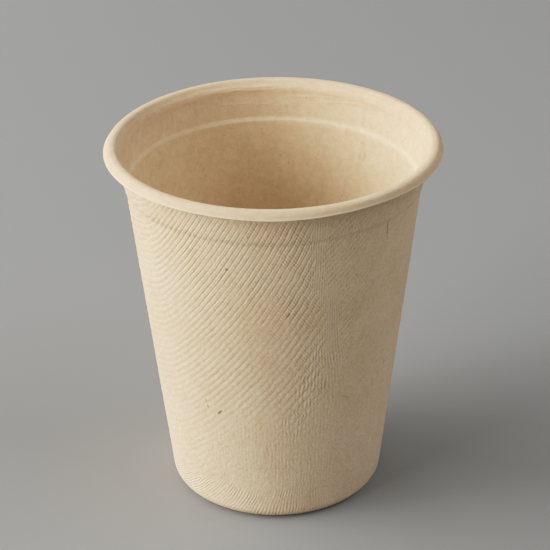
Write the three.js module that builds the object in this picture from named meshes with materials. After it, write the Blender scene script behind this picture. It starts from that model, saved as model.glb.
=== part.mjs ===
// Moulded sugarcane pulp cup: one pressed sheet of fibre, turned about a vertical axis.
// Millimetres, +Z up, origin on the table under the middle of the foot.
import * as THREE from 'three';

// Driving dimensions
const CUP_HEIGHT = 90;          // table to the crown of the rim
const RIM_DIAMETER = 80;        // across the edge of the lip, the size that a lid takes
const WALL_TAPER_DEG = 6.6;     // lean of the wall and the collar, which makes the foot about 52 across
const SHEET = 0.9;              // thickness of the pressed fibre
const CROWN_LAND = 0.25;        // width of the level ring on top of the rim
const LIP_TURN_DEG = 58;        // how far the lip turns down from level
const LIP_FACE = 0.79;          // straight length of the lip past its bend, out to the trimmed edge
const FLARE_WIDTH = 1.5;        // how far the flare carries the collar outwards to the crown
const FLARE_LEAN_DEG = 45;      // lean of the flare from upright
const COLLAR_DEPTH = 9.1;       // crown of the rim down to the top of the stacking step
const STEP_HEIGHT = 1.1;        // height of the stacking step
const STEP_WIDTH = 0.45;        // how far the collar above the step stands out from the wall below it
const FOOT_WIDTH = 2.2;         // flat ring that stands on the table
const BASE_RECESS = 1.5;        // how far the middle of the base is raised above the foot
const RECESS_SLOPE_DEG = 45;    // slope from the raised middle down to the foot

// Bend radii, each on the hollow side of its bend
const LIP_BEND = 0.7;
const CROWN_BEND = 0.5;
const FLARE_BEND = 2.6;
const STEP_BEND = 0.5;
const HEEL_BEND = 2.3;
const RECESS_BEND = 0.8;

// Fineness of the facets
const TURN_SEGMENTS = 72;
const BEND_STEP_DEG = 15;
const EDGE_STEPS = 6;

const FIBRE_COLOUR = 0xd9c4a0;
const FIBRE_ROUGHNESS = 0.9;

const halfSheet = SHEET / 2;
const taper = THREE.MathUtils.degToRad(WALL_TAPER_DEG);
const lipTurn = THREE.MathUtils.degToRad(LIP_TURN_DEG);
const flareLean = THREE.MathUtils.degToRad(FLARE_LEAN_DEG);
const recessSlope = THREE.MathUtils.degToRad(RECESS_SLOPE_DEG);

// A bend's arc follows the middle of the sheet, and starts this far from the corner that it rounds.
const bendRadius = (bend) => bend + halfSheet;
const bendReach = (bend, turn) => bendRadius(bend) * Math.tan(turn / 2);

// The middle of the sheet as a run of corners, from the axis under the cup to the end of the lip.
// Radii are worked out from the rim inwards, and then down the lean of the wall to the foot.
function sheetCorners() {
  const crownLevel = CUP_HEIGHT - halfSheet;
  const lipReach = bendReach(LIP_BEND, lipTurn);
  const lipLength = lipReach + LIP_FACE;
  const lipEnd = RIM_DIAMETER / 2 - halfSheet;
  const lipCorner = lipEnd - lipLength * Math.cos(lipTurn);
  const crownCorner = lipCorner - lipReach - CROWN_LAND - bendReach(CROWN_BEND, Math.PI / 2 - flareLean);
  const neck = crownCorner - FLARE_WIDTH;
  const neckLevel = crownLevel - FLARE_WIDTH / Math.tan(flareLean);

  const collarAt = (z) => neck - (neckLevel - z) * Math.tan(taper);
  const wallAt = (z) => collarAt(z) - STEP_WIDTH;
  const stepTop = CUP_HEIGHT - COLLAR_DEPTH;
  const stepFoot = stepTop - STEP_HEIGHT;

  const footLevel = halfSheet;
  const panelLevel = BASE_RECESS + halfSheet;
  const heel = wallAt(footLevel);
  const footOutside = heel - bendReach(HEEL_BEND, Math.PI / 2 - taper);
  const recessFoot = footOutside - FOOT_WIDTH - bendReach(RECESS_BEND, recessSlope);
  const recessTop = recessFoot - BASE_RECESS / Math.tan(recessSlope);

  return [
    { at: new THREE.Vector2(0, panelLevel) },
    { at: new THREE.Vector2(recessTop, panelLevel), bend: RECESS_BEND },
    { at: new THREE.Vector2(recessFoot, footLevel), bend: RECESS_BEND },
    { at: new THREE.Vector2(heel, footLevel), bend: HEEL_BEND },
    { at: new THREE.Vector2(wallAt(stepFoot), stepFoot), bend: STEP_BEND },
    { at: new THREE.Vector2(collarAt(stepTop), stepTop), bend: STEP_BEND },
    { at: new THREE.Vector2(neck, neckLevel), bend: FLARE_BEND },
    { at: new THREE.Vector2(crownCorner, crownLevel), bend: CROWN_BEND },
    { at: new THREE.Vector2(lipCorner, crownLevel), bend: LIP_BEND },
    { at: new THREE.Vector2(lipEnd, crownLevel - lipLength * Math.sin(lipTurn)) },
  ];
}

// Points along one bend, each with the direction of travel there.
function bendStations(before, { at, bend }, after) {
  const headingIn = at.clone().sub(before.at).angle();
  const headingOut = after.at.clone().sub(at).angle();
  const turn = Math.atan2(Math.sin(headingOut - headingIn), Math.cos(headingOut - headingIn));
  const start = before.at.clone().sub(at).setLength(bendReach(bend, Math.abs(turn))).add(at);
  const toCentre = new THREE.Vector2(0, Math.sign(turn) * bendRadius(bend));
  const centre = toCentre.rotateAround(new THREE.Vector2(), headingIn).add(start);
  const steps = Math.max(1, Math.round(THREE.MathUtils.radToDeg(Math.abs(turn)) / BEND_STEP_DEG));
  const stations = [];
  for (let i = 0; i <= steps; i += 1) {
    const swept = (turn * i) / steps;
    stations.push({ at: start.clone().rotateAround(centre, swept), heading: headingIn + swept });
  }
  return stations;
}

// Points along the middle of the sheet: the axis, then every bend, and the trimmed edge of the lip.
function sheetStations() {
  const corners = sheetCorners();
  const stations = [{ at: corners[0].at, heading: 0 }];
  for (let i = 1; i < corners.length - 1; i += 1) {
    stations.push(...bendStations(corners[i - 1], corners[i], corners[i + 1]));
  }
  stations.push({ at: corners[corners.length - 1].at, heading: -lipTurn });
  return stations;
}

// Closed section of the sheet: its under face out to the lip, the round trimmed edge, and its upper face back.
function sheetSection() {
  const stations = sheetStations();
  const offset = ({ at, heading }, angle) => {
    const reach = new THREE.Vector2(halfSheet, 0).rotateAround(new THREE.Vector2(), heading + angle);
    return reach.add(at);
  };
  const under = stations.map((station) => offset(station, -Math.PI / 2));
  const upper = stations.map((station) => offset(station, Math.PI / 2)).reverse();
  const edge = [];
  for (let i = 1; i < EDGE_STEPS; i += 1) {
    edge.push(offset(stations[stations.length - 1], Math.PI * (i / EDGE_STEPS - 0.5)));
  }
  return [...under, ...edge, ...upper];
}

function mouldedCup() {
  const geometry = new THREE.LatheGeometry(sheetSection(), TURN_SEGMENTS);
  geometry.rotateX(Math.PI / 2);
  const fibre = new THREE.MeshStandardMaterial({
    color: FIBRE_COLOUR,
    roughness: FIBRE_ROUGHNESS,
    metalness: 0,
  });
  const mesh = new THREE.Mesh(geometry, fibre);
  mesh.name = 'moulded_cup';
  return mesh;
}

const cup = new THREE.Group();
cup.add(mouldedCup());

export default cup;
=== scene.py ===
"""A moulded sugarcane pulp cup: the skins of one sheet of fibre, their finish, a floor, light and camera.

Metres, +Z up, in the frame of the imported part. Azimuth is measured about the cup's axis, from the front (-Y)
towards the right (+X). A pair of ends is a stretch, over which something rises from 0 to 1. A place is a
centre and how far it spreads.
"""
import math

import bpy
import numpy as np
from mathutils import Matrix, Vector


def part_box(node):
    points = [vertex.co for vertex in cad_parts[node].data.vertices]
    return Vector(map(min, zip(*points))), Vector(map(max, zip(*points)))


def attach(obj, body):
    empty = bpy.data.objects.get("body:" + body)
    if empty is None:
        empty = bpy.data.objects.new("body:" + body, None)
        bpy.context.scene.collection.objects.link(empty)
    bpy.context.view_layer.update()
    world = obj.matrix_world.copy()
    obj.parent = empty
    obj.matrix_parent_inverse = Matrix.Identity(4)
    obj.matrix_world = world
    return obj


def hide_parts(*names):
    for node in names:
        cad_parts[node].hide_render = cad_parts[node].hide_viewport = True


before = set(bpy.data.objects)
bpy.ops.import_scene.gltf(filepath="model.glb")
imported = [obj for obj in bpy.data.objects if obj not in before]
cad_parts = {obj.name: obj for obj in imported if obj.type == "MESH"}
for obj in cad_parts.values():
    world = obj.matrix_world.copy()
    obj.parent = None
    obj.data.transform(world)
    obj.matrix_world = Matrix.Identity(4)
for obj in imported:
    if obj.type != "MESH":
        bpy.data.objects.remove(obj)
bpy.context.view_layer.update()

MM = 0.001
DEG = math.pi / 180

# Sizes of the cup, the first two read from the frame
CUP_NODE = "moulded_cup"
CUP_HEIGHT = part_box(CUP_NODE)[1].z
RIM_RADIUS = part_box(CUP_NODE)[1].x
TAPER = 6.6 * DEG
SHEET = 0.9 * MM
CROWN_LAND = 0.25 * MM
LIP_TURN = 58 * DEG
LIP_FACE = 0.79 * MM
FLARE_WIDTH = 1.5 * MM
FLARE_LEAN = 45 * DEG
COLLAR_DEPTH = 9.1 * MM
STEP_HEIGHT = 1.1 * MM
STEP_WIDTH = 0.45 * MM
STEP_TOP = CUP_HEIGHT - COLLAR_DEPTH
STEP_FOOT = STEP_TOP - STEP_HEIGHT
FOOT_WIDTH = 2.2 * MM
BASE_RECESS = 1.5 * MM
RECESS_SLOPE = 45 * DEG

# Bend radii, each on the hollow side of its bend
LIP_BEND = 0.7 * MM
CROWN_BEND = 0.5 * MM
FLARE_BEND = 2.6 * MM
STEP_BEND = 0.5 * MM
HEEL_BEND = 2.3 * MM
RECESS_BEND = 0.8 * MM

# The trimmed edge: how far it rounds off along the lip, how square it is, and the burr on its upper corner
EDGE_DEPTH = 0.2 * MM
EDGE_SQUARENESS = 4.0
EDGE_BURR = 0.12 * MM
BURR_PLACE = (50 * DEG, 22 * DEG)

# Where the screened wall starts above the heel and ends under the lip, and where the collar starts
WALL_FOOT = 4.0 * MM
WALL_TOP = 86.6 * MM
COLLAR_FOOT = 78.0 * MM

# Fineness of the skins
ARC_STEP = 5 * DEG
EDGE_STEPS = 24
WALL_ROW = 0.24 * MM
WALL_COLUMNS = 266
SMOOTH_ROW = 0.8 * MM
COLLAR_ROW = 0.25 * MM
SMOOTH_COLUMNS = 320

# The screen drapes over the step, so outside it is softer, by this much above and below
STEP_DRAPE = 0.4 * MM
# The ledge inside stands proud below the step, fading down the wall
LEDGE_BEAD = 0.15 * MM
LEDGE_BEAD_DEPTH = 12.0 * MM
# How far the ledge's rounding spreads past the step, and how far it tips down towards the right
LEDGE_ROUND = 0.1 * MM
LEDGE_TIP = 0.25 * MM
# Inside at the back, the collar runs on past the foot of the flare: how far, at which levels, and where
FLARE_FILL = 0.22 * MM
FLARE_FILL_LEVELS = ((86.8 * MM, 88.3 * MM), (88.3 * MM, 89.3 * MM))
FLARE_FILL_PLACE = (185 * DEG, 50 * DEG)

# Imprint of the forming screen: two half-turn sheets of wire cloth, parted where the imprint is faint
PARTING = 50 * DEG
SCREEN_RADIUS = 32.0 * MM
# The seam where the ribs stop: its turn from the front low and high on the wall, and where it leans over
SEAM_TURNS = (23.5 * DEG, 15.5 * DEG)
SEAM_LEAN = (60 * MM, 68 * MM)
PAST_SEAM = 2 * DEG

# Ribs counted from their start per millimetre round the wall and up it, at the rib level at the front
RIB_LEVEL = 57.0 * MM
RIB_START = 0.121
RIBS_ROUND = 0.621 / MM
RIBS_UP = -0.381 / MM
# How those counts change: the fan of the ribs up the wall, and their crowding round it and up it
RIB_FAN = 0.0077 / MM**2
RIB_CROWD_ROUND = -0.0021 / MM**2
RIB_CROWD_UP = 0.0003 / MM**2
RIB_CURVE = -0.000077 / MM**3
RIB_FLARE = 0.0000365 / MM**3
# Left of the kink the cloth lies at another angle, and its ribs wave
KINK = -29.5 * MM
KINK_SPREAD = 1.3 * MM
RIBS_PAST_KINK = 0.22 / MM
KINK_WAVE = 0.16
KINK_WAVE_ENTRY = (KINK, KINK - 5 * MM)
KINK_WAVE_LENGTH = 3.4 * MM
# How far the ribs wind low on the wall, stray everywhere, and stray by the seam, all in ribs
RIB_PUCKER = 0.4
PUCKER_FADE = (14 * MM, 34 * MM)
RIB_STRAY = 0.07
SEAM_STRAY = 0.15
SEAM_STRAY_ENTRY = (-12 * DEG, -3 * DEG)

# Depth of the ribs: where they come in and stop at the frayed seam, and how they end up and down the wall
RIB_DEPTH = 0.040 * MM
RIB_ENTRY = (-118 * DEG, -85 * DEG)
RIB_EXIT = (-4.0 * DEG, 1.5 * DEG)
SEAM_FRAY = 1.5 * DEG
RIB_ENDS = ((WALL_FOOT, WALL_FOOT + 2.0 * MM), (WALL_TOP - 1.2 * MM, WALL_TOP))
# Gains and losses of that depth, as two ends and an amount: up from the foot's share, towards the seam,
# in a patch high on the left, and low on the right
RIB_FOOT_SHARE = 0.50
RIB_GAINS = ((24 * MM, 44 * MM, 0.30), (56 * MM, 66 * MM, 0.20))
SEAM_GAINS = ((0 * DEG, 12 * DEG, 0.75),)
PATCH_GAINS = ((66 * MM, 78 * MM, 0.6),)
PATCH_PLACE = (-41 * DEG, 8 * DEG)
RIGHT_LOSSES = ((-36 * DEG, -18 * DEG, 0.75), (-4 * DEG, 12 * DEG, 0.20))
RIGHT_LOSS_FADE = (22 * MM, 36 * MM)
# A rubbed spot at the front: what is lost there, and its place round the wall and up it
RUB_LOSS = 0.45
RUB_ROUND = (-2 * DEG, 6 * DEG)
RUB_UP = (54 * MM, 13 * MM)
# Patchiness of the ribs: their mean, slow waves with their fineness round and up, and scattered spots
RIB_MEAN = 0.95
RIB_WAVES = 0.25
RIB_WAVE_FINENESS = (3, 4)
RIB_SPOTS = 0.35

# The weft across the ribs and the mesh past the seam: their lines per millimetre round the wall and up it
WEFT_COUNTS = (1.22 / MM, 0.90 / MM)
WEFT_ENTRY = (-57 * DEG, -32 * DEG)
MESH_RIB_COUNTS = (0.65 / MM, -0.62 / MM)
MESH_WEFT_COUNTS = (1.50 / MM, 0.45 / MM)
MESH_ENTRY = (1 * DEG, 4 * DEG)
MESH_EXIT = (30 * DEG, 44 * DEG)
MESH_ENDS = ((34 * MM, 50 * MM), (WALL_TOP - 3.0 * MM, WALL_TOP))
# Fine crests on the ribs: their share of the depth low on the wall and on the left, and where they grow
CREST_LOW_SHARE = 0.4
CREST_LEFT_SHARE = 0.25
CREST_RISE = (50 * MM, 66 * MM)

# Upright lines along the seam: where they count from, their count and stray low and high on the wall
STRIP_ARC = 10 * MM
STRIP_COUNTS = (1.00 / MM, 1.90 / MM)
STRIP_STRAYS = (0.34, 0.102)
STRIP_CLOSING = (34 * MM, 66 * MM)
# Where their strip starts before the seam at the foot, how it narrows up the wall, comes in and stops
STRIP_START = -26 * DEG
STRIP_START_GAINS = ((24 * MM, 36 * MM, 10 * DEG), (38 * MM, 64 * MM, 13 * DEG))
STRIP_ENTRY = (-4 * DEG, 6 * DEG)
STRIP_EXIT = (1 * DEG, 9 * DEG)
STRIP_ENDS = ((6 * MM, 14 * MM), (WALL_TOP - 2.0 * MM, WALL_TOP))
STRIP_FOOT_SHARE = 0.8
STRIP_GAINS = ((28 * MM, 44 * MM, 0.8), (58 * MM, 70 * MM, -0.45))
# The same lines low on the left, and how broken all of them are below the level where they are whole
STRIP_LEFT_SHARE = 0.45
STRIP_LEFT_ENTRY = (-48 * DEG, -36 * DEG)
STRIP_LEFT_FADE = (26 * MM, 36 * MM)
STRIP_LEAST = 0.2
STRIP_MEAN = 0.75
STRIP_SPOTS = 0.8
STRIP_WHOLE = (48 * MM, 66 * MM)

# Slanted lines over the heel, more upright round the wall: their counts, stray, patchiness and place
HEEL_LEVEL = 5.5 * MM
HEEL_COUNTS = (1.12 / MM, -0.30 / MM)
HEEL_FAN = 0.036 / MM**2
HEEL_CROWD = 0.005 / MM**2
HEEL_STRAY = 0.3
HEEL_MEAN = 0.85
HEEL_SPOTS = 0.5
HEEL_TURNS = ((-90 * DEG, -55 * DEG), (14 * DEG, 38 * DEG))
HEEL_FADE = (6.0 * MM, 12.5 * MM)
# Only faces that look outwards by more than this have them
HEEL_FACING = 0.2

# How the sheet set as it dried: a dent at the back left of the rim and an uneven lip
DENT_DEPTH = 0.42 * MM
DENT_PLACE = (-125 * DEG, 24 * DEG)
DENT_FOOT = 50 * MM
LIP_SAG = 0.22 * MM
LIP_SAG_PLACE = (0 * DEG, 10 * DEG)
LIP_LIFT = 0.18 * MM
LIP_LIFT_PLACE = (35 * DEG, 10 * DEG)
LIP_ENTRY = (RIM_RADIUS - 1.9 * MM, RIM_RADIUS - 0.4 * MM)
EDGE_FRAY = 0.05 * MM
FRAY_FINENESS = 13
# Slow unevenness of the wall and the bowl, how it differs in the bowl, and the clumps of fibre outside
WANDER = 0.05 * MM
BOWL_WANDER_TURN = 1.0
BOWL_WANDER_CLIMB = 1.7
BOWL_ENDS = ((3 * MM, 8 * MM), (85 * MM, 88 * MM))
UNEVEN_ENDS = ((WALL_FOOT, WALL_FOOT + 3.0 * MM), (WALL_TOP - 2.0 * MM, WALL_TOP))
CLUMP_DEPTH = 0.026 * MM

# Sets of waves: the seed, the waves in a turn of the cup, and the least and most climb in radians a metre
WANDER_WAVES = (5, (2, 3, 5, 7, 11), 60, 260)
PUCKER_WAVES = (11, (9, 14, 19, 25, 31), -1200, 1200)
# What is scattered over the wall: the size of its grid and its seed
RIB_SPOT_GRID = (2.2 * MM, 21)
RIB_STRAY_GRID = (2.2 * MM, 22)
CLUMP_GRID = (0.75 * MM, 23)
SEAM_FRAY_GRID = (4.4 * MM, 24)
STRIP_STRAY_GRID = (1.5 * MM, 25)
HEEL_STRAY_GRID = (2.2 * MM, 26)
STRIP_SPOT_GRID = (1.5 * MM, 27)
HEEL_SPOT_GRID = (2.2 * MM, 28)

# Creases inside the collar at the back: where each starts and stops round the cup, and its heights there
COLLAR_CREASES = (
    (140 * DEG, 162 * DEG, 86.9 * MM, 85.0 * MM),
    (178 * DEG, 204 * DEG, 84.0 * MM, 84.9 * MM),
    (176 * DEG, 214 * DEG, 88.4 * MM, 89.0 * MM),
    (180 * DEG, 208 * DEG, 87.7 * MM, 88.3 * MM),
    (154 * DEG, 174 * DEG, 86.7 * MM, 86.0 * MM),
)
CREASE_DEPTH = 0.085 * MM
CREASE_WIDTH = 0.24 * MM
CREASE_WAVE = 0.12 * MM
CREASE_WAVES = 2.5
CREASE_ENDS = ((0.0, 0.15), (0.85, 1.0))

# Dark flecks of cane on the wall and inside: azimuth, height, length, width, lean from upright, strength
WALL_FLECKS = (
    (-18.3 * DEG, 72.6 * MM, 0.8 * MM, 0.50 * MM, 40 * DEG, 0.9),
    (2.1 * DEG, 71.2 * MM, 0.6 * MM, 0.45 * MM, 20 * DEG, 0.7),
    (-9.3 * DEG, 82.0 * MM, 0.6 * MM, 0.45 * MM, 20 * DEG, 0.6),
    (-27.0 * DEG, 31.2 * MM, 1.6 * MM, 0.60 * MM, 45 * DEG, 1.0),
    (-34.0 * DEG, 33.6 * MM, 1.1 * MM, 0.40 * MM, 5 * DEG, 0.8),
    (-33.2 * DEG, 32.0 * MM, 1.2 * MM, 0.40 * MM, -25 * DEG, 0.9),
    (47.6 * DEG, 78.2 * MM, 4.8 * MM, 0.36 * MM, -6 * DEG, 0.7),
    (34.0 * DEG, 34.1 * MM, 3.2 * MM, 0.36 * MM, 120 * DEG, 0.5),
    (5.1 * DEG, 60.6 * MM, 1.5 * MM, 0.45 * MM, 35 * DEG, 0.7),
    (59.1 * DEG, 38.5 * MM, 0.8 * MM, 0.50 * MM, 0 * DEG, 0.8),
)
INNER_FLECKS = (
    (174.0 * DEG, 83.4 * MM, 0.9 * MM, 0.60 * MM, 40 * DEG, 0.3),
    (78.0 * DEG, 88.9 * MM, 0.8 * MM, 0.40 * MM, 30 * DEG, 0.6),
    (137.0 * DEG, 74.3 * MM, 2.0 * MM, 0.50 * MM, -8 * DEG, 0.35),
    (139.6 * DEG, 73.8 * MM, 1.3 * MM, 0.45 * MM, -12 * DEG, 0.3),
    (176.8 * DEG, 70.7 * MM, 0.9 * MM, 0.60 * MM, 60 * DEG, 0.4),
    (213.3 * DEG, 70.1 * MM, 5.0 * MM, 0.30 * MM, 24 * DEG, 0.2),
)
# Where a fleck has faded out, and how far outwards a face may look that has the inner ones
FLECK_BORDER = 1.6
INNER_FLECK_FACING = 0.5

# Colours of the pulp, linear: the pale and the deep tan of its clouds, outside and inside
OUTER_TANS = ((0.81, 0.637, 0.442, 1.0), (0.70, 0.512, 0.322, 1.0))
INNER_TANS = ((0.80, 0.645, 0.445, 1.0), (0.69, 0.520, 0.330, 1.0))
RIM_TAN = (0.68, 0.435, 0.28, 1.0)
STAIN_TAN = (0.70, 0.44, 0.24, 1.0)
# Pale of the fibres, also painted on the trimmed edge and the ledge as their highlights
STRAND_AND_HIGHLIGHT_PALE = (0.88, 0.76, 0.58, 1.0)
FLECK_BROWN = (0.16, 0.085, 0.035, 1.0)
FLOOR_GREY = (0.317, 0.317, 0.312, 1.0)

# Clouds of the pulp: how noise is drawn, the size and strength of each layer, and the level that is pale
CLOUD_MIDDLE = 0.5
CLOUD_DETAIL = 2.0
CLOUD_ROUGHNESS = 0.55
GRAIN_DETAIL = 3.0
MOTTLE = ((14 * MM, 0.9), (5 * MM, 0.5), (1.6 * MM, 0.7))
MOTTLE_LEVEL = 0.55
STAIN_SIZE = 4.5 * MM
STAIN_RANGE = (0.60, 0.74)
STAIN_STRENGTH = 0.3
# Fibres that show, lying three ways: their turn, length, width and rarity
FIBRE_LAYS = (
    ((0.2, 0.1, 0.0), 3.2 * MM, 0.16 * MM, 0.66),
    ((0.9, 0.5, 0.3), 2.6 * MM, 0.14 * MM, 0.67),
    ((-0.8, -0.6, 1.1), 2.8 * MM, 0.15 * MM, 0.67),
)
FIBRE_DETAIL = 1.0
FIBRE_BORDER = 0.08
FIBRE_STRENGTH = 0.35
# Specks: their turn, the cells that hold one each, how far they are drawn out, and their size in a cell
SPECK_TURN = (0.4, 0.2, 0.0)
SPECK_CELL = 3.4 * MM
SPECK_STRETCH = 2.5
SPECK_SIZE = 0.055
SPECK_CORE = 0.6
SPECK_STRENGTH = 0.35
FLECK_STRENGTH = 0.75
# The dry matte finish, rougher on its grain
PULP_ROUGHNESS = 0.80
GRAIN_ROUGHNESS = 0.14
PULP_GLOSS = 0.25
PULP_SHEEN = 0.06
SHEEN_ROUGHNESS = 0.6

# The screened finish, with heights in millimetres. Shades: by the grain, the clouds' size, and by them
SCREENED_GRAIN = 0.48 * MM
SCREENED_SHADES = (0.50, 0.8 * MM, 0.30)
SCREENED_GRAIN_HEIGHT = 0.040
SCREENED_FIBRE_HEIGHT = 0.006
WEFT_HEIGHT = 0.019
MESH_HEIGHT = 0.026
STRIP_HEIGHT = 0.036
HEEL_HEIGHT = 0.044
CREST_HEIGHT = 0.019
CREST_LEAD = 94 * DEG
CRESTS_PER_RIB = 2
# Painted shade and light of the fine lines: colour darkened in their hollows, down to the deepest height
# counted, and lightened on their crests, per millimetre of height
LINE_PAINTED_SHADE = 4.0
LINE_DEEPEST = -0.04
# Patches where the lines are pressed in: sizes of the patches and the spots in them, with the range of each
PATCH_SIZE = 5 * MM
PATCH_RANGE = (0.25, 0.60)
SPOT_SIZE = 1.0 * MM
SPOT_RANGE = (0.40, 0.62)
SPOT_LEAST = 0.1
SPOT_GAIN = 1.2
LINE_LEAST = 0.35
FOOT_PALENESS = 0.3
FOOT_PALE_FADE = (8 * MM, 55 * MM)

# The smooth finish, inside and on the rim: its orange-peel, the streaks round the rim, and the highlights
# painted pale on the trimmed edge and the ledge
SMOOTH_GRAIN = 0.55 * MM
SMOOTH_SHADES = (0.20, 1.7 * MM, 0.24)
SMOOTH_GRAIN_HEIGHT = 0.090
SMOOTH_FIBRE_HEIGHT = 0.005
PEEL_SIZE = 3.2 * MM
PEEL_HEIGHT = 0.06
STREAK_LENGTH = 5 * MM
STREAK_WIDTH = 0.30 * MM
STREAK_HEIGHT = 0.050
STREAK_TINT = 0.9
COLLAR_PALENESS = 0.1
COLLAR_PALE_RISE = (0.05, 0.3)
RIM_TINT = 0.26
RIM_TINT_RISE = (0.8, 1.0)
RIM_TINT_DEPTH = 2 * MM
# Painted highlights: the trimmed edge and the ledge are painted paler where they catch the light, with the
# width and strength of each
EDGE_HIGHLIGHT_WIDTH = 0.3 * MM
EDGE_PAINTED_HIGHLIGHT = 0.7
LEDGE_HIGHLIGHT_WIDTH = 0.5 * MM
LEDGE_PAINTED_HIGHLIGHT = 0.3

# The photograph's camera: the point at the middle of the frame, and how the camera looks at it
FRAME_PIXELS = 550
FOCAL_PIXELS = 1973.5
SENSOR = 36.0
NEAREST_SIGHT = 10 * MM
VIEW_RAISE = 27.852 * DEG
VIEW_ROLL = -0.676 * DEG
VIEW_DISTANCE = 480.067 * MM
VIEW_TARGET = Vector((0.089 * MM, 0.0, 53.918 * MM))

# Soft boxes round the left and a weak one on the right: azimuth, height above level, width and power
SOFT_BOXES = {
    "left_box": (-85 * DEG, 25 * DEG, 1.0, 13.3),
    "left_high_box": (-100 * DEG, 40 * DEG, 1.36, 15.3),
    "left_front_box": (-60 * DEG, 21 * DEG, 1.0, 18.4),
    "left_back_box": (-150 * DEG, 25 * DEG, 1.0, 5.0),
    "right_box": (78 * DEG, 45 * DEG, 1.36, 10.1),
}
BOX_DISTANCE = 1.7
# A dim warm surround, and the floor
SURROUND = 0.120
SURROUND_TINT = (1.0, 0.985, 0.93, 1.0)
FLOOR_SIZE = 6.0
FLOOR_ROUGHNESS = 0.9
FLOOR_GLOSS = 0.2

# The camera's tone curve: light in, light shown, with soft highlights
TONE_CURVE = ((0.1, 0.09), (0.2, 0.195), (0.3, 0.305), (0.5, 0.50), (0.8, 0.69), (1.05, 0.80))
TONE_WHITE = 1.6


def smooth(low, high, value):
    """Rises from 0 at low to 1 at high with level ends: 3t^2 - 2t^3."""
    t = np.clip((value - low) / (high - low), 0.0, 1.0)
    return t * t * (3 - 2 * t)


def band(value, rise, fall):
    """Rises from 0 to 1 over the first stretch, and falls back to 0 over the second."""
    return smooth(*rise, value) * (1 - smooth(*fall, value))


def gained(value, gains):
    """Sum of gains, each made smoothly over a stretch of its own: rows of low end, high end and amount."""
    return sum(amount * smooth(low, high, value) for low, high, amount in gains)


def between(first, second, share):
    """Goes from the first to the second as the share goes from 0 to 1."""
    return first + (second - first) * share


def hump(value, centre, spread):
    """A bell along a line, 1 at its centre: exp(-((value - centre) / spread)^2)."""
    return np.exp(-((value - centre) / spread)**2)


def swell(azimuth, centre, width):
    """A bell round the circle, 1 at its centre: exp((cos(azimuth - centre) - 1) / width^2)."""
    return np.exp((np.cos(azimuth - centre) - 1) / width**2)


def bend_reach(bend, turn):
    """Distance from a corner to the start of its arc, which follows the middle of the sheet."""
    return (bend + SHEET / 2) * math.tan(turn / 2)


def sheet_corners():
    """Corners of the sheet's mid-line, axis to lip, as rows of radius, height and bend.

    Radii run from the rim inwards, and then down the lean of the wall to the foot.
    """
    half = SHEET / 2
    crown = CUP_HEIGHT - half
    lip_reach = bend_reach(LIP_BEND, LIP_TURN)
    lip_end = RIM_RADIUS - half
    lip_corner = lip_end - (lip_reach + LIP_FACE) * math.cos(LIP_TURN)
    crown_corner = lip_corner - lip_reach - CROWN_LAND - bend_reach(CROWN_BEND, math.pi / 2 - FLARE_LEAN)
    neck = crown_corner - FLARE_WIDTH
    neck_level = crown - FLARE_WIDTH / math.tan(FLARE_LEAN)
    step_radius = neck - (neck_level - STEP_TOP) * math.tan(TAPER)
    wall_radius = neck - (neck_level - STEP_FOOT) * math.tan(TAPER) - STEP_WIDTH
    heel = neck - (neck_level - half) * math.tan(TAPER) - STEP_WIDTH
    foot_outside = heel - bend_reach(HEEL_BEND, math.pi / 2 - TAPER)
    recess_foot = foot_outside - FOOT_WIDTH - bend_reach(RECESS_BEND, RECESS_SLOPE)
    recess_top = recess_foot - BASE_RECESS / math.tan(RECESS_SLOPE)
    return np.array([
        (0.0, BASE_RECESS + half, 0.0),
        (recess_top, BASE_RECESS + half, RECESS_BEND),
        (recess_foot, half, RECESS_BEND),
        (heel, half, HEEL_BEND),
        (wall_radius, STEP_FOOT, STEP_BEND),
        (step_radius, STEP_TOP, STEP_BEND),
        (neck, neck_level, FLARE_BEND),
        (crown_corner, crown, CROWN_BEND),
        (lip_corner, crown, LIP_BEND),
        (lip_end, crown - (lip_reach + LIP_FACE) * math.sin(LIP_TURN), 0.0),
    ])


def bend_rows(before, corner, after):
    """Rows of radius, height and heading along the arc that rounds one corner.

    The arc starts its reach before the corner, and each row is the start turned about the arc's centre.
    """
    heading_in = np.arctan2(*(corner - before)[1::-1])
    heading_out = np.arctan2(*(after - corner)[1::-1])
    turn = (heading_out - heading_in + math.pi) % (2 * math.pi) - math.pi
    along = np.array([np.cos(heading_in), np.sin(heading_in)])
    start = corner[:2] - bend_reach(corner[2], abs(turn)) * along
    side = np.sign(turn) * (corner[2] + SHEET / 2)
    centre = start + side * np.array([-along[1], along[0]])
    heading = heading_in + turn * np.linspace(0, 1, max(2, int(abs(turn) / ARC_STEP) + 2))
    radius = centre[0] + side * np.sin(heading)
    height = centre[1] - side * np.cos(heading)
    return np.stack([radius, height, heading], axis=1)


def sheet_midline():
    """Rows of radius, height and heading along the sheet's middle: axis, bends and the lip's end."""
    corners = sheet_corners()
    bends = [bend_rows(*corners[i - 1:i + 2]) for i in range(1, len(corners) - 1)]
    return np.vstack([(*corners[0, :2], 0.0), *bends, (*corners[-1, :2], -LIP_TURN)])


def face_rows(midline, side):
    """Rows of radius, height and outward normal on one face: half a sheet to one side of the heading."""
    normal = side * np.stack([-np.sin(midline[:, 2]), np.cos(midline[:, 2])], axis=1)
    return np.hstack([midline[:, :2] + normal * SHEET / 2, normal])


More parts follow.
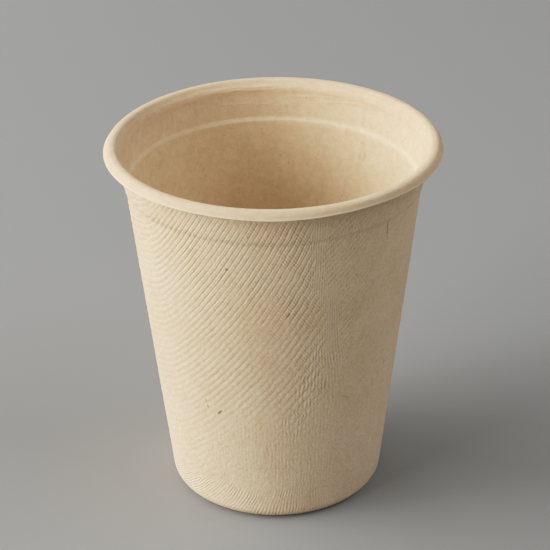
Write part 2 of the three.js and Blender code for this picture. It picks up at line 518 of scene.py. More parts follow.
def edge_rows(lip):
    """Rows round the trimmed edge, from the under face to the upper one.

    Half a superellipse about the lip's end, |x/depth|^n + |y/half sheet|^n = 1, with a burr on its upper
    corner.
    """
    angle = np.linspace(-math.pi / 2, math.pi / 2, EDGE_STEPS + 1)[1:-1]
    power = 2 / EDGE_SQUARENESS
    along = EDGE_DEPTH * np.cos(angle)**power
    across = SHEET / 2 * np.sign(np.sin(angle)) * np.abs(np.sin(angle))**power
    burr = EDGE_BURR * hump(angle, *BURR_PLACE)
    cosine, sine = math.cos(lip[2]), math.sin(lip[2])
    radius = np.minimum(lip[0] + along * cosine - across * sine + burr, RIM_RADIUS)
    height = lip[1] + along * sine + across * cosine
    return np.stack([radius, height, np.cos(angle + lip[2]), np.sin(angle + lip[2])], axis=1)


def divided(rows, spacing):
    """The same profile with every stretch cut evenly into lengths no longer than its spacing."""
    lengths = np.hypot(*np.diff(rows[:, :2], axis=0).T)
    cuts = np.maximum(1, np.ceil(lengths / spacing)).astype(int)
    stretch = np.repeat(np.arange(len(cuts)), cuts)
    first = np.repeat(np.cumsum(cuts) - cuts, cuts)
    share = ((np.arange(cuts.sum()) - first) / np.repeat(cuts, cuts))[:, None]
    return np.vstack([between(rows[stretch], rows[stretch + 1], share), rows[-1:]])


def row_at(climb, level):
    """The row at one height of a profile that climbs."""
    return np.array([np.interp(level, climb[:, 1], column) for column in climb.T])


def skin_profiles():
    """Profiles of the three skins: the base up to the heel, the screened wall, and the rim with the bowl."""
    midline = sheet_midline()
    under = face_rows(midline, -1)
    upper = face_rows(midline, 1)[::-1]
    height = under[:, 1]
    climb = under[np.argmin(height):np.argmax(height) + 1]
    low, high = row_at(climb, WALL_FOOT), row_at(climb, WALL_TOP)
    base = np.vstack([under[height < WALL_FOOT], low])
    wall = np.vstack([low, under[(height > WALL_FOOT) & (height < WALL_TOP)], high])
    rim = np.vstack([high, under[height > WALL_TOP], edge_rows(midline[-1]), upper])
    return base, wall, rim


def turned(rows, azimuth, relief):
    """Points of a profile turned about the axis, each moved out along its normal by the relief there."""
    radius = rows[:, :1] + rows[:, 2:3] * relief
    height = rows[:, 1:2] + rows[:, 3:4] * relief
    return np.stack([radius * np.sin(azimuth), -radius * np.cos(azimuth), height + 0 * azimuth], axis=2)


def settled(points):
    """Points drawn in towards the axis by the dent in the rim, more the nearer they are to it."""
    azimuth = np.arctan2(points[..., 0], -points[..., 1])
    pull = DENT_DEPTH * swell(azimuth, *DENT_PLACE) * smooth(DENT_FOOT, CUP_HEIGHT, points[..., 2])
    radius = np.maximum(np.hypot(points[..., 0], points[..., 1]), MM)
    return points * np.stack([1 - pull / radius, 1 - pull / radius, np.ones_like(pull)], axis=-1)


def waves(azimuth, height, seed, counts, least, most):
    """Unevenness from -1 to 1: a sum of sines round and up the cup, each with its own climb and phase."""
    rng = np.random.default_rng(seed)
    total = 0.0
    for count in counts:
        climb, phase = rng.uniform(least, most), rng.uniform(0, 2 * math.pi)
        total = total + np.sin(count * azimuth + climb * height + phase)
    return total / len(counts)


def wander(azimuth, height):
    """Slow unevenness of the pressed sheet, in long waves."""
    return waves(azimuth, height, *WANDER_WAVES)


def scatter(azimuth, height, size, seed):
    """Random unevenness from -1 to 1: levels on a grid over the unrolled wall, joined smoothly."""
    columns = round(2 * math.pi * SCREEN_RADIUS / size)
    levels = np.random.default_rng(seed).uniform(-1, 1, (int(CUP_HEIGHT / size) + 3, columns))
    u, v = azimuth / (2 * math.pi) * columns, height / size
    i, j = np.floor(v).astype(int), np.floor(u).astype(int)
    here, after = j % columns, (j + 1) % columns
    share_round = smooth(0, 1, u - j)
    low = between(levels[i, here], levels[i, after], share_round)
    high = between(levels[i + 1, here], levels[i + 1, after], share_round)
    return between(low, high, smooth(0, 1, v - i))


def screen_turn(azimuth):
    """Turn within a sheet of the screen, 0 at the front, from half a turn before its parting up to it."""
    return PARTING - (PARTING - azimuth) % math.pi


def screen_arc(azimuth):
    """Distance round the wall within a sheet of the screen: its turn times the screen's radius."""
    return SCREEN_RADIUS * screen_turn(azimuth)


def seam_turn(height):
    """Turn of the seam at a height: it leans towards the front near the rim."""
    return between(*SEAM_TURNS, smooth(*SEAM_LEAN, height))


def rib_depth(azimuth, height):
    """Share of the ribs' depth: they come in on the left of each sheet and stop at the frayed seam.

    They deepen up the wall, towards the seam and in a patch high on the left. They are shallow low on the
    right and where the front is rubbed. Slow waves and scattered spots make them patchy.
    """
    turn, seam = screen_turn(azimuth), seam_turn(height)
    fray = SEAM_FRAY * scatter(azimuth, height, *SEAM_FRAY_GRID)
    zone = smooth(*RIB_ENTRY, turn) * (1 - smooth(*RIB_EXIT, turn + fray - seam)) * band(height, *RIB_ENDS)
    rise = (RIB_FOOT_SHARE + gained(height, RIB_GAINS)) * (1 + gained(turn, SEAM_GAINS))
    patch = 1 + gained(height, PATCH_GAINS) * swell(turn, *PATCH_PLACE)
    low_right = 1 - gained(turn, RIGHT_LOSSES) * (1 - smooth(*RIGHT_LOSS_FADE, height))
    rubbed = 1 - RUB_LOSS * swell(turn, *RUB_ROUND) * hump(height, *RUB_UP)
    slow = RIB_WAVES * wander(RIB_WAVE_FINENESS[0] * azimuth, RIB_WAVE_FINENESS[1] * height)
    spots = RIB_SPOTS * scatter(azimuth, height, *RIB_SPOT_GRID)
    return zone * rise * patch * low_right * rubbed * (RIB_MEAN + slow + spots)


def mesh_depth(azimuth, height):
    """Share of the mesh's depth beyond the seam: full on a stretch of the upper wall, fading both ways."""
    turn = screen_turn(azimuth)
    zone = smooth(*MESH_ENTRY, turn - seam_turn(height)) * (1 - smooth(*MESH_EXIT, turn))
    return zone * band(height, *MESH_ENDS)


def strip_depth(azimuth, height):
    """Share of the upright lines' depth: a strip along the seam, wide and faint low down, narrow at the rim.

    Low on the left the same lines are faint. Low on the wall all of them are broken by scattered spots.
    """
    turn, seam = screen_turn(azimuth), seam_turn(height)
    start = seam + STRIP_START + gained(height, STRIP_START_GAINS)
    inside = smooth(*STRIP_ENTRY, turn - start)
    strip = inside * (1 - smooth(*STRIP_EXIT, turn - seam))
    left = smooth(*STRIP_LEFT_ENTRY, turn) * (1 - inside) * (1 - smooth(*STRIP_LEFT_FADE, height))
    strength = STRIP_FOOT_SHARE + gained(height, STRIP_GAINS)
    spots = STRIP_SPOTS * scatter(azimuth, height, *STRIP_SPOT_GRID)
    broken = between(np.maximum(STRIP_LEAST, STRIP_MEAN + spots), 1, smooth(*STRIP_WHOLE, height))
    return strength * broken * (strip + STRIP_LEFT_SHARE * left) * band(height, *STRIP_ENDS)


def heel_depth(azimuth, height):
    """Share of the heel lines' depth: full round the front of a sheet of the screen, fading up the wall."""
    spots = HEEL_SPOTS * scatter(azimuth, height, *HEEL_SPOT_GRID)
    return band(screen_turn(azimuth), *HEEL_TURNS) * (HEEL_MEAN + spots) * (1 - smooth(*HEEL_FADE, height))


def rib_count(azimuth, height):
    """Ribs counted across the wall, so that a rib runs along each whole number.

    The count is a cubic in the distance round and up from the rib level: ribs climb to the right, fan out
    towards the foot, crowd together towards the rim, and past the kink go on at a lower angle, in waves. Low
    on the wall the cloth is puckered, and the ribs wind.
    """
    arc, rise = screen_arc(azimuth), height - RIB_LEVEL
    near = KINK + KINK_SPREAD * np.logaddexp(0.0, (arc - KINK) / KINK_SPREAD)
    count = RIB_START + RIBS_ROUND * near + RIBS_UP * rise + RIB_FAN * near * rise
    count = count + RIB_CROWD_ROUND * near**2 + RIB_CROWD_UP * rise**2 + RIB_CURVE * near**3
    count = count + RIB_FLARE * near * rise**2 + RIBS_PAST_KINK * (arc - near)
    kinked = KINK_WAVE * smooth(*KINK_WAVE_ENTRY, arc) * np.sin(2 * math.pi * height / KINK_WAVE_LENGTH)
    puckers = RIB_PUCKER * (1 - smooth(*PUCKER_FADE, height)) * waves(azimuth, height, *PUCKER_WAVES)
    by_seam = smooth(*SEAM_STRAY_ENTRY, screen_turn(azimuth) - seam_turn(height))
    stray = (RIB_STRAY + SEAM_STRAY * by_seam) * scatter(azimuth, height, *RIB_STRAY_GRID)
    return count + kinked + puckers + stray


def strip_count(azimuth, height):
    """Upright lines counted round the wall, closer together near the rim, each wandering by itself."""
    high = smooth(*STRIP_CLOSING, height)
    stray = between(*STRIP_STRAYS, high) * scatter(azimuth, height, *STRIP_STRAY_GRID)
    return between(*STRIP_COUNTS, high) * (screen_arc(azimuth) - STRIP_ARC) + stray


def heel_count(azimuth, height):
    """Lines over the heel, counted round the wall, with a slant that grows along it."""
    arc = screen_arc(azimuth)
    slant = HEEL_COUNTS[1] + HEEL_FAN * arc
    stray = HEEL_STRAY * scatter(azimuth, height, *HEEL_STRAY_GRID)
    return HEEL_COUNTS[0] * arc + HEEL_CROWD * arc**2 + slant * (height - HEEL_LEVEL) + stray


def line_count(azimuth, height, counts):
    """Evenly spaced straight lines counted round and up the wall."""
    return counts[0] * screen_arc(azimuth) + counts[1] * (height - RIB_LEVEL)


def straight_step(height):
    """The sheet's own step: 0 at its foot, 1 at its top, straight between them."""
    return np.interp(height, (STEP_FOOT, STEP_TOP), (0, 1))


def draped_step(height):
    """Relief that softens the step outside: a long smooth rise in place of the short straight one."""
    draped = smooth(STEP_FOOT - STEP_DRAPE, STEP_TOP + STEP_DRAPE, height)
    return STEP_WIDTH * (draped - straight_step(height))


def wall_relief(azimuth, height):
    """Relief of the wall: the softened step, the ribs as a sine of their count, wander and clumps."""
    ribs = rib_depth(azimuth, height) * np.sin(2 * math.pi * rib_count(azimuth, height))
    uneven = WANDER * wander(azimuth, height) + CLUMP_DEPTH * scatter(azimuth, height, *CLUMP_GRID)
    return draped_step(height) + RIB_DEPTH * ribs + band(height, *UNEVEN_ENDS) * uneven


def fine_imprint(azimuth, height):
    """Phases and depths of the fine lines that the screen leaves, each under the name of its lines.

    Crests run along the ribs and the weft across them. Past the seam they give way to a mesh, which takes
    over their phases. The strip's lines stand along the seam, and the heel's slant over the heel. Where
    lines give way, their depth is none.
    """
    turn = screen_turn(azimuth)
    past_seam = turn > seam_turn(height) + PAST_SEAM
    ribs, mesh = rib_depth(azimuth, height), mesh_depth(azimuth, height)
    drawn = smooth(*WEFT_ENTRY, turn)
    crest = between(CREST_LOW_SHARE, 1, smooth(*CREST_RISE, height)) * between(CREST_LEFT_SHARE, 1, drawn)
    weft, mesh_weft = [line_count(azimuth, height, counts) for counts in (WEFT_COUNTS, MESH_WEFT_COUNTS)]
    counts = {
        "rib": np.where(past_seam, line_count(azimuth, height, MESH_RIB_COUNTS), rib_count(azimuth, height)),
        "weft": np.where(past_seam, mesh_weft, weft),
        "strip": strip_count(azimuth, height),
        "heel": heel_count(azimuth, height),
    }
    depths = {
        "crest": np.where(past_seam, 0.0, ribs * crest),
        "mesh": np.where(past_seam, mesh, 0.0),
        "weft": np.where(past_seam, mesh, ribs * drawn),
        "strip": strip_depth(azimuth, height),
        "heel": heel_depth(azimuth, height),
    }
    phases = {key + "_phase": 2 * math.pi * count for key, count in counts.items()}
    return phases | {key + "_depth": depth for key, depth in depths.items()}


def flecks(azimuth, height, marks):
    """Darkness of the flecks: each an ellipse laid on the wall, full inside and fading at its border."""
    dark = np.zeros(np.broadcast(azimuth, height).shape)
    for at, level, length, width, lean, strength in marks:
        across = SCREEN_RADIUS * ((azimuth - at + math.pi) % (2 * math.pi) - math.pi)
        up = height - level
        along = up * math.cos(lean) + across * math.sin(lean)
        aside = across * math.cos(lean) - up * math.sin(lean)
        distance = (2 * along / length)**2 + (2 * aside / width)**2
        dark = np.maximum(dark, strength * np.clip(FLECK_BORDER - distance, 0, 1))
    return dark


def creases(azimuth, height):
    """Relief of the creases where the sheet folded: a wavy ridge along each path, faded at its ends."""
    total = 0.0
    for start, stop, low, high in COLLAR_CREASES:
        share = (azimuth % (2 * math.pi) - start) / (stop - start)
        path = between(low, high, share) + CREASE_WAVE * np.sin(2 * math.pi * CREASE_WAVES * share)
        total = total + band(share, *CREASE_ENDS) * hump(height, path, CREASE_WIDTH)
    return CREASE_DEPTH * total


def flare_relief(azimuth, height):
    """Inward relief at the foot of the flare: a bulge that rises to a level and falls off above it."""
    return FLARE_FILL * swell(azimuth, *FLARE_FILL_PLACE) * band(height, *FLARE_FILL_LEVELS)


def ledge_height(azimuth, height):
    """Height as the ledge has it, which lies a little lower towards the right."""
    return height + LEDGE_TIP * np.sin(azimuth)


def ledge_relief(azimuth, height):
    """Inward relief of the ledge: a smooth rise in place of the straight one, and the bead below it."""
    tipped = ledge_height(azimuth, height)
    above = smooth(STEP_FOOT - LEDGE_ROUND, STEP_TOP + LEDGE_ROUND, tipped)
    bead = LEDGE_BEAD * np.interp(tipped, (STEP_FOOT - LEDGE_BEAD_DEPTH, STEP_FOOT), (0, 1)) * (1 - above)
    return bead - STEP_WIDTH * (above - straight_step(height))


def on_bowl(rows):
    """1 on the faces that look at the axis, fading towards the base and the crown."""
    return (rows[:, 2:3] < 0) * band(rows[:, 1:2], *BOWL_ENDS)


def bowl_relief(rows, azimuth):
    """Relief of the inside: wander and the ledge on the bowl, and the creases and the bulge by the flare."""
    height = rows[:, 1:2]
    uneven = WANDER * wander(azimuth + BOWL_WANDER_TURN, BOWL_WANDER_CLIMB * height)
    folds = creases(azimuth, height) + flare_relief(azimuth, height)
    return on_bowl(rows) * (uneven + ledge_relief(azimuth, height)) + (rows[:, 2:3] < 0) * folds


def uneven_lip(rows, azimuth, points):
    """Points of the lip, let down at the front, lifted beside it, and frayed inwards at its edge."""
    lip = smooth(*LIP_ENTRY, rows[:, :1])
    drop = LIP_SAG * swell(azimuth, *LIP_SAG_PLACE)
    lift = LIP_LIFT * swell(azimuth, *LIP_LIFT_PLACE)
    fray = EDGE_FRAY * (1 + wander(FRAY_FINENESS * azimuth, 0.0)) / 2
    points[..., 2] = np.minimum(points[..., 2] + lip * (lift - drop), CUP_HEIGHT)
    points[..., :2] *= (1 - lip * fray / RIM_RADIUS)[..., None]
    return points


def surface_normals(points):
    """Unit normals of a grid: its change round the cup crossed with its change along the profile."""
    normal = np.cross(np.gradient(points, axis=1), np.gradient(points, axis=0))
    return normal / np.linalg.norm(normal, axis=2, keepdims=True)


def skin_faces(rows, columns, closed):
    """Corner numbers of a grid's quads, counted row by row, wound so that they face away from the sheet."""
    across = columns if closed else columns - 1
    i, j = np.meshgrid(np.arange(rows - 1), np.arange(across), indexing="ij")
    here, above = i * columns, (i + 1) * columns
    after = (j + 1) % columns
    return np.stack([here + j, here + after, above + after, above + j], axis=-1).reshape(-1, 4)


def with_pole(points, faces, first):
    """A grid with its first or last ring drawn to a point on the axis: one more corner and a fan."""
    rows, columns = points.shape[:2]
    ring = np.arange(columns) + (0 if first else (rows - 1) * columns)
    after = np.roll(ring, -1)
    pole = np.full(columns, rows * columns)
    fan = np.stack([pole, after, ring] if first else [ring, after, pole], axis=1)
    edge = points[0 if first else -1]
    corners = np.vstack([points.reshape(-1, 3), [(0.0, 0.0, edge[:, 2].mean())]])
    return corners, faces.tolist() + fan.tolist()


def skin_object(name, points, faces, material, marks):
    """A smooth mesh object from arrays of points, faces and marks, riding on the cup's body for its node."""
    mesh = bpy.data.meshes.new(name)
    mesh.from_pydata(points.reshape(-1, 3), [], faces)
    mesh.polygons.foreach_set("use_smooth", np.ones(len(mesh.polygons), dtype=bool))
    for key, values in marks.items():
        layer = mesh.attributes.new(key, "FLOAT", "POINT")
        layer.data.foreach_set("value", values.astype(np.float32).ravel())
    mesh.materials.append(material)
    mesh.update()
    piece = bpy.data.objects.new(name, mesh)
    bpy.context.scene.collection.objects.link(piece)
    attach(piece, "root")
    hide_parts(CUP_NODE)
    return piece


def closed_skin(name, points, marks, material, pole_first):
    """A skin that goes right round the cup, closed at its first or its last ring by a pole on the axis."""
    grid = points.shape[:2]
    corners, faces = with_pole(points, skin_faces(*grid, closed=True), pole_first)
    marks = {key: np.append(np.broadcast_to(value, grid), 0.0) for key, value in marks.items()}
    skin_object(name, corners, faces, material, marks)


def closed_azimuth():
    """Azimuths of the columns right round the cup."""
    return 2 * math.pi * np.arange(SMOOTH_COLUMNS)[None, :] / SMOOTH_COLUMNS


def wall_quarter(name, start, rows, material):
    """A quarter of the screened wall: its profile turned over a right angle, with the screen's relief.

    It is worked out one column past each side, so that its normals agree with the next quarter's.
    """
    azimuth = start + math.pi / 2 * np.arange(-1, WALL_COLUMNS + 2)[None, :] / WALL_COLUMNS
    height = rows[:, 1:2]
    points = settled(turned(rows, azimuth, wall_relief(azimuth, height)))
    normals = surface_normals(points)[:, 1:-1]
    points = points[:, 1:-1]
    azimuth = azimuth[:, 1:-1]
    grid = points.shape[:2]
    marks = fine_imprint(azimuth, height)
    marks["fleck"] = flecks(azimuth, height, WALL_FLECKS)
    marks = {key: np.broadcast_to(value, grid) for key, value in marks.items()}
    piece = skin_object(name, points, skin_faces(*grid, closed=False), material, marks)
    piece.data.normals_split_custom_set_from_vertices(normals.reshape(-1, 3))


def foot_and_base(profile, material):
    """The underside: raised panel, foot ring and heel, turned right round, with the heel's lines."""
    rows = divided(profile, SMOOTH_ROW)[1:]
    azimuth = closed_azimuth()
    marks = fine_imprint(azimuth, rows[:, 1:2])
    marks["heel_depth"] = marks["heel_depth"] * (rows[:, 2:3] > HEEL_FACING)
    marks["fleck"] = 0.0
    points = settled(turned(rows, azimuth, 0.0))
    closed_skin("foot_and_base", points, marks, material, pole_first=True)


def rim_marks(rows, azimuth):
    """What the smooth finish follows: flecks, the way along the profile, the rim, and where highlights are
    painted on its edge and the ledge.
    """
    height = rows[:, 1:2]
    reach = np.append(0.0, np.cumsum(np.hypot(*np.diff(rows[:, :2], axis=0).T)))[:, None]
    edge = reach[np.argmax(rows[:, 0])]
    ledge = (STEP_FOOT + STEP_TOP) / 2
    return {
        "fleck": flecks(azimuth, height, INNER_FLECKS) * (rows[:, 2:3] < INNER_FLECK_FACING),
        "reach": reach,
        "on_rim": smooth(COLLAR_FOOT, CUP_HEIGHT - RIM_TINT_DEPTH, height),
        # Where the highlights on the trimmed edge and the ledge are painted
        "edge_highlight": hump(reach, edge, EDGE_HIGHLIGHT_WIDTH),
        "ledge_highlight": on_bowl(rows) * hump(ledge_height(azimuth, height), ledge, LEDGE_HIGHLIGHT_WIDTH),
    }


def rim_and_bowl(profile, material):
    """The rim, the trimmed edge and the whole inside, turned right round, with the relief of the bowl."""
    in_collar = np.minimum(profile[:-1, 1], profile[1:, 1]) > COLLAR_FOOT
    rows = divided(profile, np.where(in_collar, COLLAR_ROW, SMOOTH_ROW))[:-1]
    azimuth = closed_azimuth()
    points = turned(rows, azimuth, bowl_relief(rows, azimuth))
    points = settled(uneven_lip(rows, azimuth, points))
    closed_skin("rim_and_bowl", points, rim_marks(rows, azimuth), material, pole_first=False)


class Wire:
    """A socket in a material. Arithmetic on it adds Math nodes, and node() adds any other node."""

    def __init__(self, tree, socket=None):
        self.tree = tree
        self.socket = socket

    def node(self, kind, settings=None, sockets=None, out=0):
        """Adds a node with its settings first, then its sockets' values or links, and gives one output."""
        made = self.tree.nodes.new(kind)
        for name, value in (settings or {}).items():
            setattr(made, name, value)
        for key, value in (sockets or {}).items():
            if isinstance(value, Wire):
                self.tree.links.new(value.socket, made.inputs[key])
            else:
                made.inputs[key].default_value = value
        return Wire(self.tree, made.outputs[out] if len(made.outputs) else None)

    def math(self, operation, *values):
        """A Math node with this wire as its first value."""
        return self.node("ShaderNodeMath", {"operation": operation}, dict(enumerate((self, *values))))

    def step(self, low, high):
        """Rises from 0 at low to 1 at high with level ends."""
        sockets = {"Value": self, "From Min": low, "From Max": high}
        return self.node("ShaderNodeMapRange", {"interpolation_type": "SMOOTHSTEP"}, sockets)

    def __add__(self, other):
        return self.math("ADD", other)

    def __sub__(self, other):
        return self.math("SUBTRACT", other)

    def __rsub__(self, other):
        return self.math("MULTIPLY", -1.0) + other

    def __mul__(self, other):
        return self.math("MULTIPLY", other)

    __radd__ = __add__
    __rmul__ = __mul__


def new_material(name):
    """An empty node material, and a wire to start its nodes from."""
    material = bpy.data.materials.new(name)
    material.use_nodes = True
    material.node_tree.nodes.clear()
    return material, Wire(material.node_tree)


def tint(factor, first, second):
    """The first colour, going over to the second as the factor goes from 0 to 1."""
    return factor.node("ShaderNodeMix", {"data_type": "RGBA"}, {0: factor, 6: first, 7: second}, 2)


def scaled(vector, scale):
    """A colour or a place, times a number."""
    return vector.node("ShaderNodeVectorMath", {"operation": "SCALE"}, {0: vector, "Scale": scale})


def clouds(place, size, detail=CLOUD_DETAIL):
    """Soft noise with clouds of one size, about its middle."""
    sockets = {"Vector": place, "Scale": 1 / size, "Detail": detail, "Roughness": CLOUD_ROUGHNESS}
    return place.node("ShaderNodeTexNoise", {}, sockets)


def laid(place, turn, size):
    """The place as seen along a turned and stretched grid."""
    sockets = {"Vector": place, "Rotation": turn, "Scale": size}
    return place.node("ShaderNodeMapping", {"vector_type": "TEXTURE"}, sockets)


def strands(place, turn, length, width, rarity):
    """Fibres that lie one way: noise drawn out along the fibre, kept where it peaks."""
    grid = laid(place, turn, (width, width, length))
    noise = grid.node("ShaderNodeTexNoise", {}, {"Vector": grid, "Scale": 1.0, "Detail": FIBRE_DETAIL})
    return noise.step(rarity, rarity + FIBRE_BORDER)


def pulp_fibres(place):
    """All the fibres that show: the strongest of their lays at each place."""
    shown, *others = [strands(place, *lay) for lay in FIBRE_LAYS]
    for other in others:
        shown = shown.math("MAXIMUM", other)
    return shown


def specks(place):
    """Sparse specks: a spot round the point of each cell of a scattered grid, drawn out along one way."""
    grid = laid(place, SPECK_TURN, (SPECK_CELL, SPECK_CELL, SPECK_CELL * SPECK_STRETCH))
    spot = grid.node("ShaderNodeTexVoronoi", {}, {"Vector": grid, "Scale": 1.0}, "Distance")
    return 1 - spot.step(SPECK_CORE * SPECK_SIZE, SPECK_SIZE)


def named_attribute(start, name):
    """A number that the mesh holds at each of its points."""
    return start.node("ShaderNodeAttribute", {"attribute_name": name}, out="Fac")


def new_pulp(name, grain_size):
    """A new material of pulp, with what both finishes start from: a wire, the place, grain and fibres."""
    material, start = new_material(name)
    place = start.node("ShaderNodeTexCoord", out="Object")
    return material, start, place, clouds(place, grain_size, GRAIN_DETAIL), pulp_fibres(place)


def pulp_shade(place, grain, grain_share, size, cloud_share):
    """A shade about 1, lighter on the peaks of the grain and of clouds of one size."""
    return 1 + grain_share * (grain - CLOUD_MIDDLE) + cloud_share * (clouds(place, size) - CLOUD_MIDDLE)


def pulp_colour(start, place, tans, paleness, shade, fibres):
    """Tan in soft clouds, paler where told, with stains, pale fibres and brown flecks, under a shade."""
    mottle = sum((strength * clouds(place, size) for size, strength in MOTTLE), -MOTTLE_LEVEL)
    tan = tint(mottle - paleness, *tans)
    tan = tint(STAIN_STRENGTH * clouds(place, STAIN_SIZE).step(*STAIN_RANGE), tan, STAIN_TAN)
    tan = tint(FIBRE_STRENGTH * fibres, tan, STRAND_AND_HIGHLIGHT_PALE)
    dark = (SPECK_STRENGTH * specks(place)).math("MAXIMUM", FLECK_STRENGTH * named_attribute(start, "fleck"))
    return scaled(tint(dark, tan, FLECK_BROWN), shade)


def pulp_shader(start, colour, grain, height):
    """A dry matte finish, faintly fuzzy, with the height of its fine relief in millimetres."""
    bump = start.node("ShaderNodeBump", {}, {"Distance": MM, "Height": height})
    sockets = {
        "Base Color": colour,
        "Roughness": PULP_ROUGHNESS + GRAIN_ROUGHNESS * grain,
        "Specular IOR Level": PULP_GLOSS,
        "Sheen Weight": PULP_SHEEN,
        "Sheen Roughness": SHEEN_ROUGHNESS,
        "Normal": bump,
    }
    shader = start.node("ShaderNodeBsdfPrincipled", {}, sockets)
    start.node("ShaderNodeOutputMaterial", {}, {"Surface": shader})


def imprint_line(start, phase, depth, height, lead=0.0, harmonic=1):
    """One set of the screen's lines: its height times the sine of its phase, as deep as the mesh says."""
    wave = harmonic * named_attribute(start, phase + "_phase") + lead
    return height * (wave.math("SINE") * named_attribute(start, depth + "_depth"))


def screen_lines(start, place):
    """Height of the cloth's fine lines: weft and mesh in patches, strip and heel fainter between them."""
    spots = SPOT_LEAST + SPOT_GAIN * clouds(place, SPOT_SIZE).step(*SPOT_RANGE)
    patchy = clouds(place, PATCH_SIZE).step(*PATCH_RANGE) * spots
    weft = imprint_line(start, "weft", "weft", WEFT_HEIGHT)
    mesh = imprint_line(start, "rib", "mesh", MESH_HEIGHT)
    strip = imprint_line(start, "strip", "strip", STRIP_HEIGHT)
    heel = imprint_line(start, "heel", "heel", HEEL_HEIGHT)
    return patchy * (weft + mesh) + (LINE_LEAST + (1 - LINE_LEAST) * patchy) * (strip + heel)


def screened_pulp():
    """Pulp pressed on the forming screen: fibre, and the cloth's fine lines, with painted shade in their
    hollows and painted light on their crests.
    """
    material, start, place, grain, fibres = new_pulp("screened_pulp", SCREENED_GRAIN)
    lines = screen_lines(start, place)
    crest = imprint_line(start, "rib", "crest", CREST_HEIGHT, CREST_LEAD, CRESTS_PER_RIB)
    # The shade holds random tone from the grain and clouds, plus the lines' painted shade in their hollows and
    # painted light on their crests
    shade = pulp_shade(place, grain, *SCREENED_SHADES) + LINE_PAINTED_SHADE * lines.math("MAXIMUM", LINE_DEEPEST)
    level = place.node("ShaderNodeSeparateXYZ", {}, {"Vector": place}, "Z")
    paleness = FOOT_PALENESS * (1 - level.step(*FOOT_PALE_FADE))
    colour = pulp_colour(start, place, OUTER_TANS, paleness, shade, fibres)
    height = SCREENED_GRAIN_HEIGHT * grain + SCREENED_FIBRE_HEIGHT * fibres + crest + lines
    pulp_shader(start, colour, grain, height)
    return material


def rim_streaks(start, place):
    """Fibres drawn out round the rim: noise that changes fast along the profile and slowly round the cup."""
    across = named_attribute(start, "reach") * (1 / STREAK_WIDTH)
    lifted = start.node("ShaderNodeCombineXYZ", {}, {"Z": across})
    sockets = {0: scaled(place, 1 / STREAK_LENGTH), 1: lifted}
    where = place.node("ShaderNodeVectorMath", {"operation": "ADD"}, sockets)
    return start.node("ShaderNodeTexNoise", {}, {"Vector": where, "Scale": 1.0, "Detail": CLOUD_DETAIL})


def smooth_pulp():
    """Pulp pressed by the smooth tool: fibre and faint orange-peel, streaked and deeper in tone on the rim.

    The trimmed edge and the ledge are painted pale where they catch the light: painted highlights.
    """
    material, start, place, grain, fibres = new_pulp("smooth_pulp", SMOOTH_GRAIN)
    on_rim = named_attribute(start, "on_rim")
    streaks = on_rim * (rim_streaks(start, place) - CLOUD_MIDDLE)
    shade = pulp_shade(place, grain, *SMOOTH_SHADES)
    paleness = COLLAR_PALENESS * on_rim.step(*COLLAR_PALE_RISE)
    colour = pulp_colour(start, place, INNER_TANS, paleness, shade, fibres)
    colour = tint(RIM_TINT * on_rim.step(*RIM_TINT_RISE) + STREAK_TINT * streaks, colour, RIM_TAN)
    # Painted highlights: paler colour on the trimmed edge and the ledge where they catch the light
    painted_edge_highlight = EDGE_PAINTED_HIGHLIGHT * named_attribute(start, "edge_highlight")
    painted_ledge_highlight = LEDGE_PAINTED_HIGHLIGHT * named_attribute(start, "ledge_highlight")
    colour = tint(painted_edge_highlight + painted_ledge_highlight, colour, STRAND_AND_HIGHLIGHT_PALE)
    peel = PEEL_HEIGHT * clouds(place, PEEL_SIZE)
    height = SMOOTH_GRAIN_HEIGHT * grain + SMOOTH_FIBRE_HEIGHT * fibres + peel + STREAK_HEIGHT * streaks
    pulp_shader(start, colour, grain, height)
    return material


def make_cup():
    """All the skins of the cup, which meet edge to edge."""
    base, wall, rim = skin_profiles()
    screened, plain = screened_pulp(), smooth_pulp()
    rows = divided(wall, WALL_ROW)
    for i, name in enumerate(("wall_right", "wall_back", "wall_left", "wall_front")):
        wall_quarter(name, PARTING + i * math.pi / 2, rows, screened)
    foot_and_base(base, screened)
    rim_and_bowl(rim, plain)


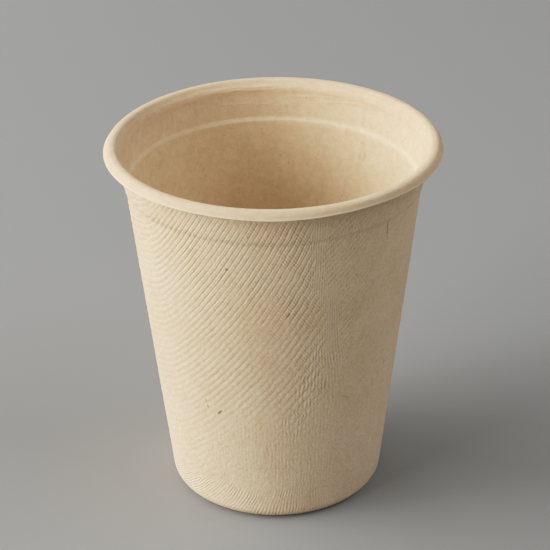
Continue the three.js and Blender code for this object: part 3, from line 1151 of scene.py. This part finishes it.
def make_floor():
    """A plain grey table top, one square level with the foot."""
    material, start = new_material("floor_grey")
    sockets = {"Base Color": FLOOR_GREY, "Roughness": FLOOR_ROUGHNESS, "Specular IOR Level": FLOOR_GLOSS}
    shader = start.node("ShaderNodeBsdfPrincipled", {}, sockets)
    start.node("ShaderNodeOutputMaterial", {}, {"Surface": shader})
    half = FLOOR_SIZE / 2
    corners = [(-half, -half, 0), (half, -half, 0), (half, half, 0), (-half, half, 0)]
    mesh = bpy.data.meshes.new("floor")
    mesh.from_pydata(corners, [], [(0, 1, 2, 3)])
    mesh.materials.append(material)
    floor = bpy.data.objects.new("floor", mesh)
    bpy.context.scene.collection.objects.link(floor)


def soft_box(name, azimuth, raised, width, power):
    """A square soft box aimed at the cup's middle."""
    light = bpy.data.lights.new(name, "AREA")
    light.shape = "SQUARE"
    light.size = width
    light.energy = power
    box = bpy.data.objects.new(name, light)
    level = math.cos(raised)
    away = Vector((level * math.sin(azimuth), -level * math.cos(azimuth), math.sin(raised)))
    box.location = Vector((0, 0, CUP_HEIGHT / 2)) + BOX_DISTANCE * away
    box.rotation_euler = away.to_track_quat("Z", "Y").to_euler()
    bpy.context.scene.collection.objects.link(box)


def make_light():
    """The soft boxes and the surround."""
    for name, setting in SOFT_BOXES.items():
        soft_box(name, *setting)
    world = bpy.data.worlds.new("surround")
    world.use_nodes = True
    background = world.node_tree.nodes["Background"]
    background.inputs["Color"].default_value = SURROUND_TINT
    background.inputs["Strength"].default_value = SURROUND
    bpy.context.scene.world = world


def make_tones():
    """The camera's way with light: a plain display, and one curve that softens the highlights."""
    view = bpy.context.scene.view_settings
    view.view_transform = "Standard"
    view.use_curve_mapping = True
    curve = view.curve_mapping
    curve.clip_max_x = TONE_WHITE
    *_, all_colours = curve.curves
    points = all_colours.points
    points[1].location = (TONE_WHITE, 1.0)
    for light, shown in TONE_CURVE:
        points.new(light, shown)
    curve.update()


def make_camera():
    """A camera raised by the viewing angle and rolled a little, looking at the middle of the frame."""
    lens = bpy.data.cameras.new("camera")
    lens.sensor_width = SENSOR
    lens.lens = SENSOR * FOCAL_PIXELS / FRAME_PIXELS
    lens.clip_start = NEAREST_SIGHT
    camera = bpy.data.objects.new("camera", lens)
    back = Vector((0, -math.cos(VIEW_RAISE), math.sin(VIEW_RAISE)))
    camera.location = VIEW_TARGET + VIEW_DISTANCE * back
    camera.rotation_mode = "ZYX"
    camera.rotation_euler = (math.pi / 2 - VIEW_RAISE, 0, VIEW_ROLL)
    bpy.context.scene.collection.objects.link(camera)
    bpy.context.scene.camera = camera


make_camera()
make_cup()
make_floor()
make_light()
make_tones()
